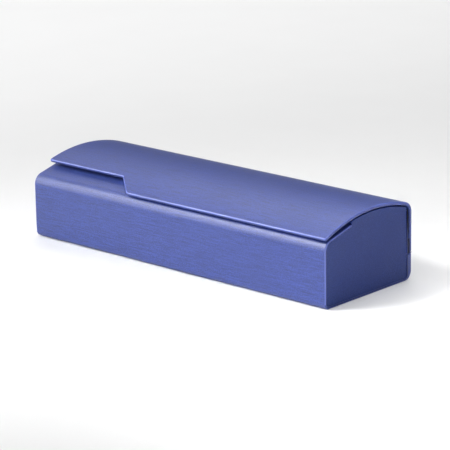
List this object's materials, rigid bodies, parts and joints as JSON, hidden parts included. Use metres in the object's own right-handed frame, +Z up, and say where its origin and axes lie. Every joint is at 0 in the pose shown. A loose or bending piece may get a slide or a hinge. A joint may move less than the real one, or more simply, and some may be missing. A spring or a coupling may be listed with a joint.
{
  "type": "eyeglasses case",
  "caption": "Slim rectangular case for folded eyeglasses, with a sloping front lip and a curved, notched flap lid hinged along the back.",
  "frame": {"origin": "middle of the footprint, on the surface that the case rests on", "axes": "+X along the case towards the end away from the notch, -Y out of the front face, +Z up"},
  "size_m": [0.16, 0.053, 0.0351],
  "materials": {
    "leatherette": "satin blue leatherette with very fine streaks along the case",
    "end_leatherette": "matte blue leatherette",
    "lining": "short soft pile",
    "hinge_fabric": "smooth woven tape",
    "steel": "bright rolled sheet",
    "magnet": "nickel plate",
    "board": "greyboard",
    "panel": "moulded",
    "foam": "soft foam sheet"
  },
  "bodies": {
    "body": {"body_core": "steel", "body_cover": "leatherette", "lower_back_board": "board", "back_cover": "leatherette", "end_panel_left": "panel", "end_panel_right": "panel", "end_cover_left": "end_leatherette", "end_cover_right": "end_leatherette", "bottom_pad": "foam", "tray_lining": "lining", "end_lining_left": "lining", "end_lining_right": "lining", "hinge_cover": "leatherette", "hinge_lining": "hinge_fabric"},
    "lid": {"lid_core": "steel", "lid_cover": "leatherette", "lid_lining": "lining", "lid_magnet_left": "magnet", "lid_magnet_right": "magnet"}
  },
  "joints": [
    {"name": "lid_hinge", "type": "hinge", "parent": "body", "child": "lid", "pos_m": [0, 0.0265, 0.01107], "axis": [-1, 0, 0], "range_deg": [0, 120], "deforming": ["hinge_cover", "hinge_lining"]}
  ]
}
